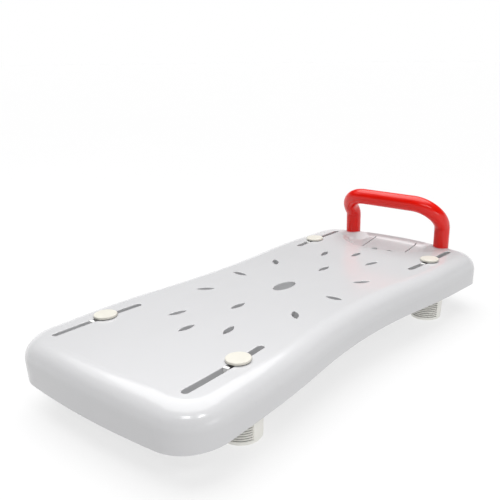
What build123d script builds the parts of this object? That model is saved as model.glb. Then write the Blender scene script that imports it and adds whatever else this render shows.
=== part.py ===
from build123d import *
import math
import os

# Bath transfer board with a grab handle and four clamping feet, in millimetres.
# +X runs along the board towards the handle end, +Y across it and +Z up.
# The origin is on the floor, under the middle of the board.

# --- Board: plan outline -------------------------------------------------------------------
BOARD_LENGTH = 709.0
WAIST_WIDTH = 300.0
BOARD_WIDTH = 333.0
SIDE_CURVE_LENGTH = 250.0      # from the waist to where the long side runs straight
END_BOW_RADIUS = 1320.0
CORNER_RADIUS = 57.0
TIGHT_CORNER_RADIUS = 42.0     # the two corners at the handle end

# --- Board: section ------------------------------------------------------------------------
SEAT_HEIGHT = 99.0             # middle of the top surface above the floor
LENGTH_RISE = 0.3              # gentle rise towards the two ends
SIDE_RISE = 1.3                # gentle rise towards the long sides
CORNER_FALL = 1.5              # takes the side rise away again near the corners
RISE_SPAN_X = 200.0
RISE_SPAN_Y = 100.0
RIM_RADIUS = 27.0
SKIN = 4.0
SKIRT_HEIGHT = 56.5            # lower edge of the skirt above the floor, at the waist
SKIRT_ARCH = 8.7               # how much lower it is at SKIRT_ARCH_SPAN from the middle
SKIRT_ARCH_SPAN = 300.0
RIB_BOTTOM = 63.0              # ribs, slot walls and handle sockets all end at this height
RIB_THICKNESS = 3.0
RIB_PITCH_X = 62.0
RIB_COUNT_X = 11
RIB_ROWS_Y = (28.0, 64.0, 100.0)

# --- Board: drain holes --------------------------------------------------------------------
DRAIN_LENGTH = 28.0
DRAIN_WIDTH = 9.5
DRAIN_PLACES = ((0.0, 90.7), (80.6, 84.6), (169.0, 47.6), (196.4, 0.0), (101.2, 0.0))
CENTRE_HOLE_LENGTH = 45.0
CENTRE_HOLE_WIDTH = 23.5
COLLAR_WALL = 2.5
COLLAR_BOTTOM = 75.0
HOLE_ROUNDING = 0.8

# --- Board: dish at the handle end ---------------------------------------------------------
DISH_CENTRE_X = 355.0
DISH_RADIUS = 120.0
DISH_WALL = 34.0               # width of the sloping inboard wall
DISH_BACK_X = 340.0            # the dish closes again before the end of the board
DISH_BACK_WALL = 14.0
DISH_DEPTH = 8.4               # at DISH_DEPTH_X; the floor falls away inboard of it
DISH_DEPTH_X = 325.0
DISH_FALL = 0.12
DISH_DEEPEST_X = 262.0
DISH_LEG_LAND = 14.0           # level ground kept round each handle leg
DISH_LEG_WALL = 26.0
DISH_LIP = 0.35                # how far the cutting surface clears the seat outside the dish
SLIT_WIDTH = 2.4
SLITS = ((256.5, 0.0, 33.0), (262.5, 42.5, 31.0), (308.5, 43.0, 47.0))   # x, y, length
THUMB_HOLE_RADIUS = 5.65
THUMB_HOLE_X = 281.3
THUMB_HOLE_Y = 15.2

# --- Board: curved slots -------------------------------------------------------------------
SLOT_WIDTH = 9.5
SLOT_INNER = (178.1, 113.2)
SLOT_OUTER = (311.5, 118.5)
SLOT_RADIUS = 1500.0
SLOT_WALL = 3.5

# --- Grab handle ---------------------------------------------------------------------------
HANDLE_LEG_X = 329.5
HANDLE_LEG_Y = 93.6
HANDLE_BAR_X = 296.2
HANDLE_BAR_HEIGHT = 176.6      # bar's centreline above the floor
HANDLE_KNEE_HEIGHT = 137.0     # where the legs lean inboard
HANDLE_KNEE_RADIUS = 22.0
HANDLE_CORNER_RADIUS = 43.0
HANDLE_RADIUS = 13.6
SLEEVE_WALL = 1.6
CORE_WALL = 1.5
LEG_BOTTOM = 69.0
SOCKET_WALL = 4.5
PLUG_LENGTH = 24.0
HANDLE_BOLT_RADIUS = 3.9
HANDLE_BOLT_HOLE_RADIUS = 4.3
HANDLE_BOLT_HEAD_ACROSS = 13.0
HANDLE_BOLT_HEAD_HEIGHT = 5.3
HANDLE_WASHER_RADIUS = 8.0
HANDLE_WASHER_THICKNESS = 1.6

# --- Foot assemblies -----------------------------------------------------------------------
SLIDE_INNER_X = 183.0          # between these the slide's straight line follows the curve
SLIDE_OUTER_X = 306.0
FOOT_PLACES = {                # where each foot stands along its slot
    "plain_left": -234.2,
    "plain_right": -223.5,
    "handle_left": 232.0,
    "handle_right": 241.0,
}
CAP_RADIUS = 15.4
CAP_BOTTOM = 99.8
CAP_THICKNESS = 3.0
CAP_EDGE_RADIUS = 1.2
BOLT_RADIUS = 3.0
BOLT_CLEARANCE = 0.06
BOLT_HEAD_RADIUS = 7.0
BOLT_HEAD_HEIGHT = 1.8
BOLT_BOTTOM = 37.0
GUIDE_TOP = 62.7
GUIDE_FLANGE_RADIUS = 22.0
GUIDE_FLANGE_THICKNESS = 4.0
GUIDE_STEM_RADIUS = 3.75
GUIDE_PEG_OFFSET = -20.5       # the peg stands beside the bolt, away from the handle end
GUIDE_PEG_LENGTH = 4.6
GUIDE_PEG_WIDTH = 7.5
GUIDE_PEG_TOP = 98.6
WASHER_RADIUS = 11.0
WASHER_THICKNESS = 1.5
TURN_GAP = 0.3                 # between the sliding and the turning pieces
CORE_RADIUS = 17.0
CORE_BOTTOM = 6.0
NUT_ACROSS = 10.0
NUT_HEIGHT = 5.0
NUT_POCKET_BOTTOM = 39.0
BOOT_TOP_RADIUS = 27.8
BOOT_BOTTOM_RADIUS = 25.2
BOOT_EDGE_RADIUS = 2.0
BOOT_RIB_PITCH = 3.4
BOOT_RIB_DEPTH = 1.8
BOOT_RIB_START = 6.2
BOOT_BAND_ANGLE = 72.0         # width of each smooth band between the ribbed sides
BOOT_BAND_TURN = -71.0         # direction that one smooth band faces, from +X

HALF_LENGTH = BOARD_LENGTH / 2
HALF_WIDTH = BOARD_WIDTH / 2
HALF_WAIST = WAIST_WIDTH / 2
FLOOR_TO_SKY = 160.0           # tall enough to cut right through the board
SURFACE_TOLERANCE = 0.03
RIM_SEARCH_DROP = 26.0         # hole rims are no further below the seat than this
SIGNS = ((1, 1), (1, -1), (-1, 1), (-1, -1))


def seat_height(x, y):
    """Height of the slightly dished top surface."""
    along = (x / RISE_SPAN_X) ** 2
    across = (y / RISE_SPAN_Y) ** 2
    return SEAT_HEIGHT + LENGTH_RISE * along**2 + SIDE_RISE * across - CORNER_FALL * along * across


def smooth_step(value):
    """0 below 0, 1 above 1 and smooth between."""
    t = min(max(value, 0.0), 1.0)
    return t**3 * (t * (6 * t - 15) + 10)


def dish_height(x, y):
    """Floor of the dish inside its outline, just above the seat outside it."""
    from_centre = math.hypot(x - DISH_CENTRE_X, y)
    from_leg = math.hypot(x - HANDLE_LEG_X, abs(y) - HANDLE_LEG_Y)
    share = smooth_step((DISH_RADIUS - from_centre) / DISH_WALL)
    share *= smooth_step((DISH_BACK_X - x) / DISH_BACK_WALL)
    share *= smooth_step((from_leg - DISH_LEG_LAND) / DISH_LEG_WALL)
    depth = DISH_DEPTH + DISH_FALL * (DISH_DEPTH_X - max(x, DISH_DEEPEST_X))
    return seat_height(x, y) + DISH_LIP - (depth + DISH_LIP) * share


def block_above(height, x_range, y_range, counts):
    """A solid whose underside is the surface that height(x, y) gives."""
    columns, rows = counts
    xs = [x_range[0] + (x_range[1] - x_range[0]) * i / (columns - 1) for i in range(columns)]
    ys = [y_range[0] + (y_range[1] - y_range[0]) * j / (rows - 1) for j in range(rows)]
    grid = [[Vector(x, y, height(x, y)) for y in ys] for x in xs]
    face = Face.make_surface_from_array_of_points(grid, tol=SURFACE_TOLERANCE, min_deg=3, max_deg=3)
    return Solid.extrude(face, Vector(0, 0, FLOOR_TO_SKY))


def outline(inset):
    """Plan of the board: waisted long sides, bowed ends and round corners."""
    waist = HALF_WAIST - inset
    width = HALF_WIDTH - inset
    length = HALF_LENGTH - inset
    turn = SIDE_CURVE_LENGTH / 2
    middle = (waist + width) / 2
    quarter_rise = (width - waist) / 8

    def end_x(y):
        return length - END_BOW_RADIUS + math.sqrt(END_BOW_RADIUS**2 - y**2)

    with BuildSketch() as plan:
        with BuildLine():
            ThreePointArc((0, waist), (turn / 2, waist + quarter_rise), (turn, middle))
            ThreePointArc((turn, middle), (turn * 1.5, width - quarter_rise), (2 * turn, width))
            Line((2 * turn, width), (end_x(width), width))
            ThreePointArc((end_x(width), width), (end_x(width / 2), width / 2), (length, 0))
            mirror(about=Plane.XZ)
            mirror(about=Plane.YZ)
        make_face()
        for end, radius in ((-1, CORNER_RADIUS), (1, TIGHT_CORNER_RADIUS)):
            corners = [v for v in plan.vertices() if end * v.X > 2 * turn + 1 and abs(v.Y) > 1]
            fillet([v for v in corners if abs(v.Y) > width - 2], radius - inset)
    return plan.sketch


def domed_form(inset):
    """The board's outer form, or the form of its hollow when inset by the skin."""
    form = extrude(outline(inset), amount=FLOOR_TO_SKY)
    seat = block_above(seat_height, (-390, 390), (-190, 190), (15, 9))
    form = form - Pos(0, 0, -inset) * seat
    rim = [edge for edge in form.edges() if edge.center().Z > SEAT_HEIGHT / 2]
    form = fillet(rim, RIM_RADIUS - inset)
    dish = block_above(dish_height, (218, 357), (-134, 134), (26, 37))
    return form - Pos(0, 0, -inset) * dish


def lens(length, width):
    """Pointed oval face centred on the origin, along X."""
    half, rise = length / 2, width / 2
    with BuildSketch() as face:
        with BuildLine():
            ThreePointArc((-half, 0), (0, rise), (half, 0))
            ThreePointArc((half, 0), (0, -rise), (-half, 0))
        make_face()
    return face.sketch


def drain_places():
    """Every drain hole's place and its angle: each points at the middle of the board."""
    places = set()
    for x, y in DRAIN_PLACES:
        for sx, sy in SIGNS:
            places.add((sx * x + 0.0, sy * y + 0.0))
    return [(x, y, math.degrees(math.atan2(y, x))) for x, y in sorted(places)]


def slot_face(sx, sy, width):
    """Plan of one curved slot, mirrored into its quarter of the board."""
    inset = SLOT_WIDTH / 2
    start = (SLOT_INNER[0] + inset, SLOT_INNER[1])
    end = (SLOT_OUTER[0] - inset, SLOT_OUTER[1])
    chord = math.dist(start, end)
    rise = SLOT_RADIUS - math.sqrt(SLOT_RADIUS**2 - (chord / 2) ** 2)
    middle = ((start[0] + end[0]) / 2, (start[1] + end[1]) / 2 + rise)
    arc = ThreePointArc(start, middle, end)
    face = SlotArc(arc, height=width)
    if sx < 0:
        face = mirror(face, about=Plane.YZ)
    if sy < 0:
        face = mirror(face, about=Plane.XZ)
    return face


def prism(face, low, high):
    """Straight prism of a flat face between two heights, always upwards."""
    return Pos(0, 0, low) * extrude(face, amount=high - low, dir=(0, 0, 1))


def leg_places():
    return ((HANDLE_LEG_X, HANDLE_LEG_Y), (HANDLE_LEG_X, -HANDLE_LEG_Y))


def make_structure():
    """Everything that fills part of the hollow: ribs, hole collars, slot walls, sockets."""
    pieces = []
    for index in range(RIB_COUNT_X):
        x = (index - (RIB_COUNT_X - 1) / 2) * RIB_PITCH_X
        pieces.append(Pos(x, 0, RIB_BOTTOM) * upright(RIB_THICKNESS, BOARD_WIDTH))
    for row in RIB_ROWS_Y:
        for y in (row, -row):
            pieces.append(Pos(0, y, RIB_BOTTOM) * upright(BOARD_LENGTH, RIB_THICKNESS))
    for x, y, angle in drain_places():
        face = lens(DRAIN_LENGTH + 2.5 * COLLAR_WALL, DRAIN_WIDTH + 2 * COLLAR_WALL)
        pieces.append(Pos(x, y, COLLAR_BOTTOM) * Rot(0, 0, angle) * extrude(face, FLOOR_TO_SKY))
    face = Ellipse(CENTRE_HOLE_LENGTH / 2 + COLLAR_WALL, CENTRE_HOLE_WIDTH / 2 + COLLAR_WALL)
    pieces.append(prism(face, COLLAR_BOTTOM, FLOOR_TO_SKY))
    for sx, sy in SIGNS:
        face = slot_face(sx, sy, SLOT_WIDTH + 2 * SLOT_WALL)
        pieces.append(prism(face, RIB_BOTTOM, FLOOR_TO_SKY))
    for x, y in leg_places():
        pieces.append(Pos(x, y, RIB_BOTTOM) * post(HANDLE_RADIUS + SOCKET_WALL, FLOOR_TO_SKY))
    return pieces


def upright(length, width):
    return Box(length, width, FLOOR_TO_SKY, align=(Align.CENTER, Align.CENTER, Align.MIN))


def post(radius, height):
    return Cylinder(radius, height, align=(Align.CENTER, Align.CENTER, Align.MIN))


def ring(outer, inner, height):
    return post(outer, height) - post(inner, height)


def make_openings():
    """Everything cut right through the finished shell."""
    cuts = []
    for x, y, angle in drain_places():
        face = lens(DRAIN_LENGTH, DRAIN_WIDTH)
        cuts.append(Pos(x, y, 0) * Rot(0, 0, angle) * extrude(face, FLOOR_TO_SKY))
    face = Ellipse(CENTRE_HOLE_LENGTH / 2, CENTRE_HOLE_WIDTH / 2)
    cuts.append(prism(face, 0, FLOOR_TO_SKY))
    for sx, sy in SIGNS:
        cuts.append(prism(slot_face(sx, sy, SLOT_WIDTH), 0, FLOOR_TO_SKY))
    for x, y, length in SLITS:
        for side in {1, -1} if y else {1}:
            face = SlotOverall(length, SLIT_WIDTH)
            cuts.append(Pos(x, side * y, 0) * extrude(face, FLOOR_TO_SKY))
    for side in (1, -1):
        cuts.append(Pos(THUMB_HOLE_X, side * THUMB_HOLE_Y, 0) * post(THUMB_HOLE_RADIUS, FLOOR_TO_SKY))
    return cuts


def make_sockets():
    """Bores for the two handle legs, with a bolt hole through the floor of each."""
    cuts = []
    for x, y in leg_places():
        cuts.append(Pos(x, y, LEG_BOTTOM) * post(HANDLE_RADIUS + BOLT_CLEARANCE, FLOOR_TO_SKY))
        cuts.append(Pos(x, y, 0) * post(HANDLE_BOLT_HOLE_RADIUS, FLOOR_TO_SKY))
    return cuts


def opening_rims(form):
    """Upper edges of the drains and slots outside the dish, told by place and length."""
    rims = []
    for edge in form.edges():
        place = edge.center()
        is_high = place.Z > SEAT_HEIGHT - RIM_SEARCH_DROP
        in_dish = place.X > 235 and abs(place.Y) < 90
        if is_high and not in_dish and abs(place.X) < 335 and abs(place.Y) < 125 and edge.length < 150:
            rims.append(edge)
    return rims


def below_skirt():
    """All that lies under the arched lower edge of the skirt."""
    reach = HALF_LENGTH + RIM_RADIUS

    def edge_height(x):
        return SKIRT_HEIGHT - SKIRT_ARCH * (x / SKIRT_ARCH_SPAN) ** 2

    low = -RIM_RADIUS
    with BuildSketch(Plane.XZ) as face:
        with BuildLine():
            ThreePointArc((-reach, edge_height(reach)), (0, SKIRT_HEIGHT), (reach, edge_height(reach)))
            Polyline((reach, edge_height(reach)), (reach, low), (-reach, low), (-reach, edge_height(reach)))
        make_face()
    return extrude(face.sketch, amount=BOARD_WIDTH, both=True)


def make_board():
    """One moulded shell: domed skin and skirt, ribbed hollow, drains, slots and sockets."""
    outer = domed_form(0) - make_openings()
    outer = fillet(opening_rims(outer), HOLE_ROUNDING)
    hollow = domed_form(SKIN) - make_structure()
    return outer - [hollow, below_skirt()] - make_sockets()


def handle_path():
    """Centreline of the tube: up, leaning inboard at the knee, then round into the bar."""
    knee = (HANDLE_LEG_X, HANDLE_LEG_Y, HANDLE_KNEE_HEIGHT)
    corner = (HANDLE_BAR_X, HANDLE_LEG_Y, HANDLE_BAR_HEIGHT)
    foot = (HANDLE_LEG_X, HANDLE_LEG_Y, LEG_BOTTOM)
    side = [foot, knee, corner]
    other = [(x, -y, z) for x, y, z in reversed(side)]
    radii = [HANDLE_KNEE_RADIUS, HANDLE_CORNER_RADIUS, HANDLE_CORNER_RADIUS, HANDLE_KNEE_RADIUS]
    return FilletPolyline(*side, *other, radius=radii)


def bent_tube(outer, wall):
    path = handle_path()
    start = Plane(origin=path @ 0, z_dir=path % 0)
    section = start * (Circle(outer) - Circle(outer - wall))
    return sweep(section, path=path)


def make_handle():
    core_radius = HANDLE_RADIUS - SLEEVE_WALL
    bore = core_radius - CORE_WALL
    thread = HANDLE_BOLT_RADIUS
    washer_bottom = RIB_BOTTOM - HANDLE_WASHER_THICKNESS
    head_bottom = washer_bottom - HANDLE_BOLT_HEAD_HEIGHT
    plugs, bolts, washers = [], [], []
    for x, y in leg_places():
        plug = ring(bore, thread, PLUG_LENGTH)
        plugs.append(Pos(x, y, LEG_BOTTOM) * plug)
        washer = ring(HANDLE_WASHER_RADIUS, HANDLE_BOLT_HOLE_RADIUS, HANDLE_WASHER_THICKNESS)
        washers.append(Pos(x, y, washer_bottom) * washer)
        head = extrude(RegularPolygon(HANDLE_BOLT_HEAD_ACROSS / 2, 6, major_radius=False),
                       HANDLE_BOLT_HEAD_HEIGHT)
        head = chamfer(head.faces().sort_by(Axis.Z)[0].edges(), 0.6)
        shank = post(thread, LEG_BOTTOM + PLUG_LENGTH - 2 - head_bottom)
        bolts.append(Pos(x, y, head_bottom) * (head + shank))
    return {
        "handle_sleeve": bent_tube(HANDLE_RADIUS, SLEEVE_WALL),
        "handle_core": bent_tube(core_radius, CORE_WALL),
        "handle_plugs": Compound(children=plugs),
        "handle_bolts": Compound(children=bolts),
        "handle_washers": Compound(children=washers),
    }


def slide_slope():
    """Rise across the board, per unit along it, of the straight line a foot slides along."""
    rise = slot_arc_y(SLIDE_OUTER_X) - slot_arc_y(SLIDE_INNER_X)
    return rise / (SLIDE_OUTER_X - SLIDE_INNER_X)


def slide_y(x):
    """Y of that line at X: midway between the chord of the slot and its bulge."""
    return slot_arc_y(SLIDE_INNER_X) + slide_slope() * (abs(x) - SLIDE_INNER_X) + slot_sag() / 2


def slot_arc_y(x):
    """Y of the slot's curved centreline at X."""
    inset = SLOT_WIDTH / 2
    start = (SLOT_INNER[0] + inset, SLOT_INNER[1])
    end = (SLOT_OUTER[0] - inset, SLOT_OUTER[1])
    chord = math.dist(start, end)
    along = (x - start[0]) / (end[0] - start[0])
    off_middle = (along - 0.5) * chord
    rise = math.sqrt(SLOT_RADIUS**2 - off_middle**2) - math.sqrt(SLOT_RADIUS**2 - (chord / 2) ** 2)
    return start[1] + (end[1] - start[1]) * along + rise


def slot_sag():
    """How far the curved centreline bulges from the foot's straight line."""
    travel = SLIDE_OUTER_X - SLIDE_INNER_X
    return SLOT_RADIUS - math.sqrt(SLOT_RADIUS**2 - (travel / 2) ** 2)


def make_cap():
    """Flat disc with a softly rounded top edge and a pocket below for the bolt's head."""
    cap = post(CAP_RADIUS, CAP_THICKNESS)
    cap = fillet(cap.faces().sort_by(Axis.Z)[-1].edges(), CAP_EDGE_RADIUS)
    return Pos(0, 0, CAP_BOTTOM) * (cap - post(BOLT_HEAD_RADIUS, BOLT_HEAD_HEIGHT))


def make_bolt():
    head = Pos(0, 0, CAP_BOTTOM) * post(BOLT_HEAD_RADIUS, BOLT_HEAD_HEIGHT)
    shank = Pos(0, 0, BOLT_BOTTOM) * post(BOLT_RADIUS, CAP_BOTTOM - BOLT_BOTTOM)
    return head + shank


def make_guide():
    """Flange under the slot walls, with a sleeve round the bolt and a peg in the slot."""
    low = GUIDE_TOP - GUIDE_FLANGE_THICKNESS
    flange = Pos(0, 0, low) * post(GUIDE_FLANGE_RADIUS, GUIDE_FLANGE_THICKNESS)
    peg_reach = -GUIDE_PEG_OFFSET + GUIDE_PEG_LENGTH / 2 + 1
    tail = Pos(-peg_reach / 2, 0, low) * Box(
        peg_reach, GUIDE_PEG_WIDTH + 4, GUIDE_FLANGE_THICKNESS, align=(Align.CENTER, Align.CENTER, Align.MIN))
    stem = Pos(0, 0, low) * post(GUIDE_STEM_RADIUS, CAP_BOTTOM - low)
    peg = Box(GUIDE_PEG_LENGTH, GUIDE_PEG_WIDTH, GUIDE_PEG_TOP - low,
              align=(Align.CENTER, Align.CENTER, Align.MIN))
    peg = fillet(peg.edges().filter_by(Axis.Z), 1.0)
    guide = flange + tail + stem + Pos(GUIDE_PEG_OFFSET, 0, low) * peg
    return guide - Pos(0, 0, low - 1) * post(BOLT_RADIUS + BOLT_CLEARANCE, FLOOR_TO_SKY)


def boot_radius(z):
    """Outer radius of the tapered boot at a height above its base."""
    return BOOT_BOTTOM_RADIUS + (BOOT_TOP_RADIUS - BOOT_BOTTOM_RADIUS) * z / boot_top()


def boot_top():
    return GUIDE_TOP - GUIDE_FLANGE_THICKNESS - TURN_GAP


def make_boot():
    """Rubber boot: closed base, hollow for the core, ribs round two sides."""
    top = boot_top() - WASHER_THICKNESS
    with BuildSketch(Plane.XZ) as half:
        with BuildLine():
            Polyline((0, 0), (BOOT_BOTTOM_RADIUS, 0), (boot_radius(top), top), (0, top), (0, 0))
        make_face()
        lower = half.vertices().sort_by(Axis.X)[-2:].sort_by(Axis.Z)[0]
        fillet([lower], BOOT_EDGE_RADIUS)
    boot = revolve(half.sketch, axis=Axis.Z)
    ribbed_angle = 180 - BOOT_BAND_ANGLE
    grooves = []
    count = int((top - BOOT_RIB_START) / BOOT_RIB_PITCH)
    with BuildSketch(Plane.XZ) as teeth:
        for index in range(count):
            z = BOOT_RIB_START + index * BOOT_RIB_PITCH
            depth, width = BOOT_RIB_DEPTH, BOOT_RIB_PITCH * 0.42
            with BuildLine():
                outer = boot_radius(z) + 0.5
                Polyline((outer, z - width), (boot_radius(z) - depth, z), (outer, z + width),
                         (outer, z - width))
            make_face()
    for turn in (0, 180):
        start = BOOT_BAND_TURN + BOOT_BAND_ANGLE / 2 + turn
        groove = revolve(teeth.sketch, axis=Axis.Z, revolution_arc=ribbed_angle)
        grooves.append(Rot(0, 0, start) * groove)
    for groove in grooves:
        boot = boot - groove
    return boot - Pos(0, 0, CORE_BOTTOM) * post(CORE_RADIUS, FLOOR_TO_SKY)


def make_core():
    """Stiff hub in the boot, bored for the bolt, with a pocket for the nut."""
    top = boot_top() - WASHER_THICKNESS
    core = post(CORE_RADIUS, top - CORE_BOTTOM)
    bore = Pos(0, 0, BOLT_BOTTOM - CORE_BOTTOM - 4) * post(BOLT_RADIUS + BOLT_CLEARANCE, FLOOR_TO_SKY)
    pocket = Pos(0, 0, NUT_POCKET_BOTTOM - CORE_BOTTOM) * hexagon(NUT_ACROSS, NUT_HEIGHT)
    return Pos(0, 0, CORE_BOTTOM) * (core - bore - pocket)


def hexagon(across, height):
    return extrude(RegularPolygon(across / 2, 6, major_radius=False), height)


def make_nut():
    nut = hexagon(NUT_ACROSS, NUT_HEIGHT) - post(BOLT_RADIUS + BOLT_CLEARANCE, NUT_HEIGHT)
    return Pos(0, 0, NUT_POCKET_BOTTOM) * nut


def make_washer():
    low = boot_top() - WASHER_THICKNESS
    return Pos(0, 0, low) * ring(WASHER_RADIUS, BOLT_RADIUS + BOLT_CLEARANCE, WASHER_THICKNESS)


def foot_place(corner):
    """Where a foot stands: X from its own place, Y and turn from the line of its slot."""
    x = FOOT_PLACES[corner]
    side = 1 if corner.endswith("left") else -1
    turn = math.degrees(math.atan(slide_slope())) * side * math.copysign(1, x)
    return Pos(x, side * slide_y(x), 0) * Rot(0, 0, turn)


def make_feet():
    pieces = {
        "foot_cap": make_cap(),
        "foot_bolt": make_bolt(),
        "foot_guide": make_guide(),
        "foot_washer": make_washer(),
        "foot_core": make_core(),
        "foot_nut": make_nut(),
        "foot_boot": make_boot(),
    }
    feet = {}
    for corner in FOOT_PLACES:
        for name, solid in pieces.items():
            feet[f"{name}_{corner}"] = foot_place(corner) * solid
    return feet


def main():
    os.makedirs("parts", exist_ok=True)
    nodes = {"board": make_board()}
    nodes.update(make_handle())
    nodes.update(make_feet())
    for name, shape in nodes.items():
        export_step(shape, f"parts/{name}.step")


main()
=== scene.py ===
import math

import bpy
from mathutils import Matrix, Vector


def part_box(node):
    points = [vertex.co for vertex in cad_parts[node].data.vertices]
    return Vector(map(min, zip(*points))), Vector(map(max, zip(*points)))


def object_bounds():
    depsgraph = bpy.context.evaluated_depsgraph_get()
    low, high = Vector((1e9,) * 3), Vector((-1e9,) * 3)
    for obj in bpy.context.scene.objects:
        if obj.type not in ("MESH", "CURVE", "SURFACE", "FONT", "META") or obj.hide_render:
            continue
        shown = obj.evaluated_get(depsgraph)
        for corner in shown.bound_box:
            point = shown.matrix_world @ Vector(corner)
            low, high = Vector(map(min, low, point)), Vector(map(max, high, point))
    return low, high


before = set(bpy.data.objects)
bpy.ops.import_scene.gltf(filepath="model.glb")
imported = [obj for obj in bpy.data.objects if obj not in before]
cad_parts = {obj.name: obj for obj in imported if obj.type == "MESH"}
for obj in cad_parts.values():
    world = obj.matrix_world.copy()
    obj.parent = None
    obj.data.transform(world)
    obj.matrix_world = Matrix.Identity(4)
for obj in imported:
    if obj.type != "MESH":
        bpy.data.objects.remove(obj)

cad_low, cad_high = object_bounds()

# --- Camera ---------------------------------------------------------------------------------
CAMERA_AZIMUTH = -51.866       # degrees round the object, 0 looks along +Y
CAMERA_ELEVATION = 22.573
CAMERA_ROLL = -0.534
CAMERA_DISTANCE = 0.832
AIM_FROM_SEAT = (-0.0764, -0.0896)   # where the axis meets the seat's plane
SEAT_HEIGHT = 0.099
SENSOR_WIDTH = 36.0
LENS = 45.06
SHIFT = (-0.1001, 0.1301)

# --- Boots: where the CAD's grooves are, for the painted shade in them -----------------------
BAND_TURN = math.radians(-71)
BAND_HALF_ANGLE = math.radians(36)
GROOVE_START = 0.0062
GROOVE_PITCH = 0.0034
# Painted shade at the bottom of each boot groove: how wide it runs and how dark it gets.
GROOVE_SHADE_WIDTH = (0.04, 0.22)     # full and gone, in pitches from the middle of a groove
PAINTED_GROOVE_SHADE = 0.2
BOOT_COLOUR = (0.90, 0.89, 0.84)
SPECKLE_SHADE = 0.72

# --- Surround and floor ----------------------------------------------------------------------
SKY_FAR = (1.0, 0.1, 0.55)     # brightness at the horizon, up the side and overhead
SKY_NEAR = (0.22, 0.06, 0.5)
SKY_STOPS = (0.0, 0.1, 0.28, 0.6, 1.0)   # heights at which the brightness changes
FAR_SIDE = (0.94, -0.34)       # direction of the bright half of the surround
FAR_RANGE = (-1.0, 0.15)
FLOOR_RADIUS = 40.0
FLOOR_SEGMENTS = 96
FLOOR_GREY = 0.2
FLOOR_GLOW = 0.73              # light of its own, so the shadows on it stay pale

# --- Lights: place, aim, size and power of each panel -----------------------------------------
SUN_STRENGTH = 3.15
SUN_ANGLE = math.radians(70)
SUN_TILT = (math.radians(-12), math.radians(10), 0)
NEAR_CORNER = (-0.32, -0.15, 0.087)
PANELS = {
    "rim_light": ((-0.5, 1.6, 1.5), (0, 0, SEAT_HEIGHT), (1.2, 0.6), 3.0),
    "low_fill": ((-0.3, -1.8, 0.3), (-0.1, 0, 0.03), (0.8, 0.3), 2.2),
    "corner_light": ((-1.20, -0.77, 1.265), NEAR_CORNER, (0.36, 0.18), 4.5),
    "corner_light_2": ((-0.624, -1.217, 1.24), NEAR_CORNER, (0.36, 0.18), 4.5),
}


def material(name):
    """A new node material with its principled shader and output already joined."""
    made = bpy.data.materials.new(name)
    made.use_nodes = True
    tree = made.node_tree
    tree.nodes.clear()
    output = tree.nodes.new("ShaderNodeOutputMaterial")
    shader = tree.nodes.new("ShaderNodeBsdfPrincipled")
    tree.links.new(shader.outputs["BSDF"], output.inputs["Surface"])
    return made, tree, shader


def noise(tree, coords, scale, detail=2.0, rough=0.5):
    node = tree.nodes.new("ShaderNodeTexNoise")
    node.inputs["Scale"].default_value = scale
    node.inputs["Detail"].default_value = detail
    node.inputs["Roughness"].default_value = rough
    tree.links.new(coords, node.inputs["Vector"])
    return node.outputs["Fac"]


def ramp(tree, factor, stops):
    """Smooth colour ramp through (position, colour) stops."""
    node = tree.nodes.new("ShaderNodeValToRGB")
    node.color_ramp.interpolation = "EASE"
    elements = node.color_ramp.elements
    while len(elements) < len(stops):
        elements.new(0.5)
    for element, (position, colour) in zip(elements, stops):
        element.position = position
        element.color = (*colour, 1.0)
    tree.links.new(factor, node.inputs["Fac"])
    return node.outputs["Color"]


def spread(tree, factor, low, high, source=(0.3, 0.7)):
    """Maps a noise onto a range of values."""
    node = tree.nodes.new("ShaderNodeMapRange")
    node.inputs["From Min"].default_value = source[0]
    node.inputs["From Max"].default_value = source[1]
    node.inputs["To Min"].default_value = low
    node.inputs["To Max"].default_value = high
    tree.links.new(factor, node.inputs["Value"])
    return node.outputs["Result"]


def blend(tree, factor, first, second):
    """Mixes two colours; each is a socket or a colour."""
    node = tree.nodes.new("ShaderNodeMix")
    node.data_type = "RGBA"
    tree.links.new(factor, node.inputs["Factor"])
    for value, socket in ((first, node.inputs["A"]), (second, node.inputs["B"])):
        if isinstance(value, tuple):
            socket.default_value = (*value, 1.0)
        else:
            tree.links.new(value, socket)
    return node.outputs["Result"]


def bump(tree, height, strength, distance):
    node = tree.nodes.new("ShaderNodeBump")
    node.inputs["Strength"].default_value = strength
    node.inputs["Distance"].default_value = distance
    tree.links.new(height, node.inputs["Height"])
    return node.outputs["Normal"]


def coordinates(tree, stretch=(1.0, 1.0, 1.0)):
    source = tree.nodes.new("ShaderNodeTexCoord").outputs["Object"]
    mapping = tree.nodes.new("ShaderNodeMapping")
    mapping.inputs["Scale"].default_value = stretch
    tree.links.new(source, mapping.inputs["Vector"])
    return mapping.outputs["Vector"]


def scaled(colour, factor):
    return tuple(min(1.0, value * factor) for value in colour)


def calculate(tree, operation, *values):
    """A math node; each input is a socket or a number."""
    node = tree.nodes.new("ShaderNodeMath")
    node.operation = operation
    for value, socket in zip(values, node.inputs):
        if isinstance(value, (int, float)):
            socket.default_value = value
        else:
            tree.links.new(value, socket)
    return node.outputs[0]


def dot(tree, first, second, direction):
    """How far along a level direction two coordinates reach."""
    return calculate(tree, "ADD", calculate(tree, "MULTIPLY", first, direction[0]),
                     calculate(tree, "MULTIPLY", second, direction[1]))


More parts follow.
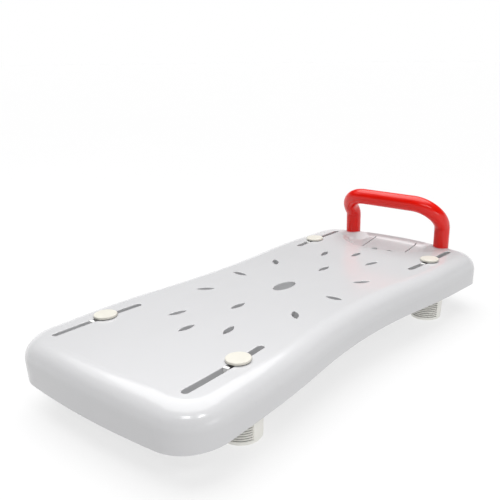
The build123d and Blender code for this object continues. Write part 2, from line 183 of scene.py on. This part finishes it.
def plastic(name, colour, roughness, grain, depth, clouds=0.03, speckle=0.0, ior=1.46,
            grooves=None):
    """Moulded plastic or rubber: faint clouds of colour, uneven gloss and a fine surface grain,
    plus painted shade in the grooves when their centre is given.
    """
    made, tree, shader = material(name)
    coords = coordinates(tree)
    broad = noise(tree, coords, 9.0, 3.0, 0.55)
    tint = ramp(tree, broad, (
        (0.3, scaled(colour, 1 - clouds)),
        (0.55, colour),
        (0.75, scaled(colour, 1 + clouds * 0.6))))
    if speckle:
        dots = noise(tree, coords, 420.0, 2.0, 0.6)
        mask = spread(tree, dots, 0.0, speckle, (0.62, 0.78))
        tint = blend(tree, mask, tint, scaled(colour, SPECKLE_SHADE))
    if grooves is not None:
        # Boots get painted shade at the bottom of each groove.
        tint = blend(tree, painted_groove_shade_mask(tree, grooves), tint, scaled(colour, PAINTED_GROOVE_SHADE))
    tree.links.new(tint, shader.inputs["Base Color"])
    patches = noise(tree, coords, 34.0, 4.0, 0.6)
    gloss = spread(tree, patches, roughness * 0.85, roughness * 1.2)
    tree.links.new(gloss, shader.inputs["Roughness"])
    fine = noise(tree, coords, grain, 2.0, 0.5)
    tree.links.new(bump(tree, fine, 0.35, depth), shader.inputs["Normal"])
    shader.inputs["IOR"].default_value = ior
    return made


def painted_groove_shade_mask(tree, centre):
    """Painted shade in a boot's grooves: 1 at the bottom of each, 0 between them and on the bands.
    """
    split = tree.nodes.new("ShaderNodeSeparateXYZ")
    source = tree.nodes.new("ShaderNodeTexCoord").outputs["Object"]
    tree.links.new(source, split.inputs["Vector"])
    across = calculate(tree, "SUBTRACT", split.outputs["X"], centre[0])
    along = calculate(tree, "SUBTRACT", split.outputs["Y"], centre[1])
    square = calculate(tree, "ADD", calculate(tree, "MULTIPLY", across, across),
                       calculate(tree, "MULTIPLY", along, along))
    radius = calculate(tree, "SQRT", square)
    facing = dot(tree, across, along, (math.cos(BAND_TURN), math.sin(BAND_TURN)))
    facing = calculate(tree, "ABSOLUTE", calculate(tree, "DIVIDE", facing, radius))
    ribbed = calculate(tree, "LESS_THAN", facing, math.cos(BAND_HALF_ANGLE))
    height = calculate(tree, "SUBTRACT", split.outputs["Z"], GROOVE_START)
    rise = calculate(tree, "ADD", calculate(tree, "DIVIDE", height, GROOVE_PITCH), 0.5)
    phase = calculate(tree, "SUBTRACT", calculate(tree, "FRACT", rise), 0.5)
    dark = spread(tree, calculate(tree, "ABSOLUTE", phase), 1.0, 0.0, GROOVE_SHADE_WIDTH)
    above = calculate(tree, "GREATER_THAN", split.outputs["Z"], GROOVE_START - GROOVE_PITCH / 2)
    return calculate(tree, "MULTIPLY", calculate(tree, "MULTIPLY", dark, ribbed), above)


def metal(name, colour, roughness, stretch):
    """Turned or drawn metal: fine lines along one direction, uneven gloss."""
    made, tree, shader = material(name)
    coords = coordinates(tree, stretch)
    lines = noise(tree, coords, 260.0, 3.0, 0.6)
    tint = ramp(tree, lines, ((0.3, scaled(colour, 0.86)), (0.7, scaled(colour, 1.06))))
    tree.links.new(tint, shader.inputs["Base Color"])
    gloss = spread(tree, lines, roughness * 0.8, roughness * 1.3)
    tree.links.new(gloss, shader.inputs["Roughness"])
    tree.links.new(bump(tree, lines, 0.3, 0.00004), shader.inputs["Normal"])
    shader.inputs["Metallic"].default_value = 1.0
    return made


def dress():
    """Gives every CAD node the finish of its own kind."""
    looks = {
        "board": plastic("moulded_white", (0.595, 0.595, 0.605), 0.17, 900.0, 0.00002,
                         clouds=0.008, ior=1.45),
        "handle_sleeve": plastic("red_sleeve", (0.78, 0.006, 0.001), 0.2, 900.0, 0.00006,
                                 clouds=0.06),
        "handle_core": metal("drawn_steel", (0.56, 0.57, 0.58), 0.35, (1, 1, 0.05)),
        "handle_plugs": metal("turned_alloy", (0.7, 0.7, 0.72), 0.3, (0.1, 0.1, 1)),
        "handle_bolts": metal("bolt_steel", (0.6, 0.6, 0.61), 0.28, (0.2, 0.2, 1)),
        "handle_washers": metal("washer_steel", (0.62, 0.62, 0.63), 0.3, (1, 0.1, 1)),
        "foot_cap": plastic("cream_cap", (0.68, 0.66, 0.59), 0.42, 1100.0, 0.00007, speckle=0.15),
        "foot_bolt": metal("stud_steel", (0.6, 0.6, 0.61), 0.28, (0.2, 0.2, 1)),
        "foot_guide": plastic("white_guide", (0.84, 0.84, 0.83), 0.38, 900.0, 0.00006, clouds=0.02),
        "foot_washer": metal("ring_steel", (0.62, 0.62, 0.63), 0.3, (1, 0.1, 1)),
        "foot_core": plastic("grey_core", (0.33, 0.33, 0.32), 0.5, 800.0, 0.0001),
        "foot_nut": metal("nut_steel", (0.58, 0.58, 0.6), 0.32, (0.2, 1, 1)),
    }
    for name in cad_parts:
        if name.startswith("foot_boot_"):
            low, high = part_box(name)
            middle = ((low.x + high.x) / 2, (low.y + high.y) / 2)
            looks[name] = plastic(name.replace("foot_boot", "ivory_rubber"), BOOT_COLOUR, 0.6,
                                  700.0, 0.0001, clouds=0.04, speckle=0.15, grooves=middle)
    for name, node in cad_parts.items():
        kind = name if name in looks else "_".join(name.split("_")[:2])
        for index in range(len(node.material_slots)):
            node.material_slots[index].material = looks[kind]


def make_floor():
    """Round pale floor at the height that the part stands on."""
    ring = []
    for index in range(FLOOR_SEGMENTS):
        angle = 2 * math.pi * index / FLOOR_SEGMENTS
        ring.append((FLOOR_RADIUS * math.cos(angle), FLOOR_RADIUS * math.sin(angle), cad_low.z))
    mesh = bpy.data.meshes.new("floor")
    mesh.from_pydata(ring, [], [tuple(range(FLOOR_SEGMENTS))])
    floor = bpy.data.objects.new("floor", mesh)
    bpy.context.scene.collection.objects.link(floor)
    made, tree, shader = material("pale_floor")
    coords = coordinates(tree)
    broad = noise(tree, coords, 1.2, 2.0)
    pale = (FLOOR_GREY, FLOOR_GREY, FLOOR_GREY)
    tint = ramp(tree, broad, ((0.3, scaled(pale, 0.99)), (0.7, pale)))
    tree.links.new(tint, shader.inputs["Base Color"])
    shader.inputs["Roughness"].default_value = 0.9
    shader.inputs["Specular IOR Level"].default_value = 0.1
    shader.inputs["Emission Color"].default_value = (1.0, 1.0, 1.0, 1.0)
    shader.inputs["Emission Strength"].default_value = FLOOR_GLOW
    floor.data.materials.append(made)


def make_sky():
    """Soft studio surround: white behind the object, greyer in front of it and at the sides."""
    world = bpy.data.worlds.new("studio")
    world.use_nodes = True
    tree = world.node_tree
    tree.nodes.clear()
    output = tree.nodes.new("ShaderNodeOutputWorld")
    background = tree.nodes.new("ShaderNodeBackground")
    direction = tree.nodes.new("ShaderNodeTexCoord").outputs["Generated"]
    split = tree.nodes.new("ShaderNodeSeparateXYZ")
    tree.links.new(direction, split.inputs["Vector"])

    def grey(value):
        return (value, value, value)

    def dome(horizon, side, top):
        values = (horizon, horizon, side, side, top)
        stops = [(place, grey(value)) for place, value in zip(SKY_STOPS, values)]
        return ramp(tree, split.outputs["Z"], stops)

    far = dot(tree, split.outputs["X"], split.outputs["Y"], FAR_SIDE)
    share = spread(tree, far, 0.0, 1.0, FAR_RANGE)
    tree.links.new(blend(tree, share, dome(*SKY_NEAR), dome(*SKY_FAR)), background.inputs["Color"])
    background.inputs["Strength"].default_value = 1.0
    tree.links.new(background.outputs["Background"], output.inputs["Surface"])
    bpy.context.scene.world = world


def area_light(name, place, aim, size, power):
    data = bpy.data.lights.new(name, "AREA")
    data.shape = "RECTANGLE"
    data.size, data.size_y = size
    data.energy = power
    light = bpy.data.objects.new(name, data)
    bpy.context.scene.collection.objects.link(light)
    light.location = place
    light.rotation_mode = "QUATERNION"
    light.rotation_quaternion = (Vector(aim) - Vector(place)).to_track_quat("-Z", "Y")


def make_lights():
    sun_data = bpy.data.lights.new("soft_top", "SUN")
    sun_data.energy = SUN_STRENGTH
    sun_data.angle = SUN_ANGLE
    sun = bpy.data.objects.new("soft_top", sun_data)
    bpy.context.scene.collection.objects.link(sun)
    sun.rotation_euler = SUN_TILT
    for name, (place, aim, size, power) in PANELS.items():
        area_light(name, place, aim, size, power)


def make_camera():
    azimuth, elevation = math.radians(CAMERA_AZIMUTH), math.radians(CAMERA_ELEVATION)
    roll = math.radians(CAMERA_ROLL)
    level = math.cos(elevation)
    back = Vector((math.sin(azimuth) * level, -math.cos(azimuth) * level, math.sin(elevation)))
    flat_right = Vector((math.cos(azimuth), math.sin(azimuth), 0))
    flat_up = back.cross(flat_right)
    right = flat_right * math.cos(roll) + flat_up * math.sin(roll)
    up = back.cross(right)
    aim = Vector((*AIM_FROM_SEAT, SEAT_HEIGHT))
    place = aim + back * CAMERA_DISTANCE
    data = bpy.data.cameras.new("camera")
    data.sensor_width = SENSOR_WIDTH
    data.lens = LENS
    data.shift_x, data.shift_y = SHIFT
    data.clip_start, data.clip_end = 0.02, 60
    camera = bpy.data.objects.new("camera", data)
    bpy.context.scene.collection.objects.link(camera)
    turned = Matrix((right, up, back)).transposed().to_4x4()
    camera.matrix_world = Matrix.Translation(place) @ turned
    bpy.context.scene.camera = camera


make_camera()
make_sky()
make_lights()
make_floor()
dress()
bpy.context.scene.view_settings.view_transform = "Standard"
